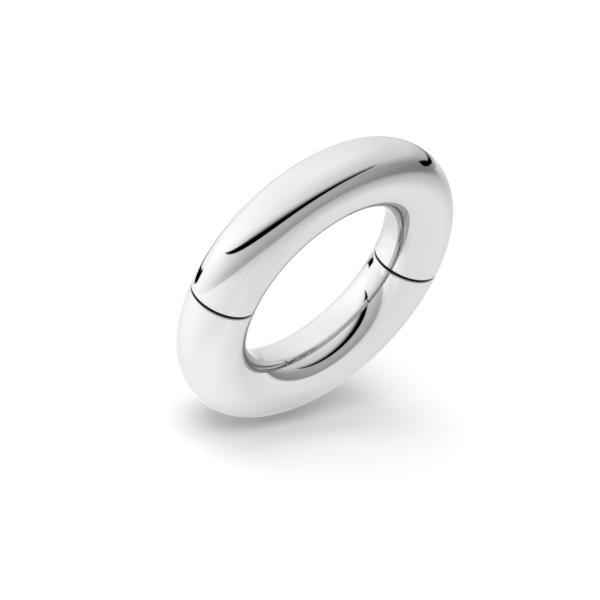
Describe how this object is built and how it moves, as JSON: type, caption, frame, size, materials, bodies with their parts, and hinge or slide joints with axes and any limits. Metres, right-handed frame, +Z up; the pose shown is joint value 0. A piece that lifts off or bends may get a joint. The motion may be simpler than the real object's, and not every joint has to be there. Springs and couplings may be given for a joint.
{
  "type": "openable connector ring",
  "caption": "Thick round ring of mirror-polished metal, split across a diameter into equal halves; one swivels aside on a hidden pivot and clicks shut, to join chain links.",
  "frame": {"origin": "centre of the ring", "axes": "+Y along the ring's own axis, +Z up with the ring standing on its rim, +X from the catch to the pivot; the halves meet at z = 0"},
  "size_m": [0.0144, 0.003, 0.0146],
  "materials": {
    "mirror_silver": "mirror polish",
    "plug_silver": "turned, lightly lapped end face",
    "bush_bronze": "reamed bronze",
    "washer_bronze": "lapped phosphor bronze",
    "spring_steel": "bright drawn wire",
    "pin_steel": "ground and hardened",
    "sleeve_brass": "turned brass",
    "ball_steel": "polished bearing ball",
    "strike_steel": "hardened, lapped"
  },
  "bodies": {
    "lower_half": {"lower_tube": "mirror_silver", "lower_pivot_plug": "plug_silver", "lower_catch_plug": "plug_silver", "pivot_bush": "bush_bronze", "thrust_washer": "washer_bronze", "disc_spring": "spring_steel", "stop_pin": "pin_steel", "catch_sleeve": "sleeve_brass", "catch_spring": "spring_steel"},
    "upper_half": {"upper_tube": "mirror_silver", "upper_pivot_plug": "plug_silver", "upper_catch_plug": "plug_silver", "pivot_pin": "pin_steel", "snap_ring": "spring_steel", "strike": "strike_steel"},
    "ball": {"catch_ball": "ball_steel"}
  },
  "joints": [
    {"name": "swing", "type": "hinge", "parent": "lower_half", "child": "upper_half", "pos_m": [0.0057, 0, 0], "axis": [0, 0, 1], "range_deg": [0, 120]},
    {"name": "catch", "type": "slide", "parent": "lower_half", "child": "ball", "axis": [0, 0, -1], "range_m": [0, 0.0001025], "stiffness_N_per_m": 2000, "springref_m": -0.0005, "deforming": ["catch_spring"]}
  ]
}
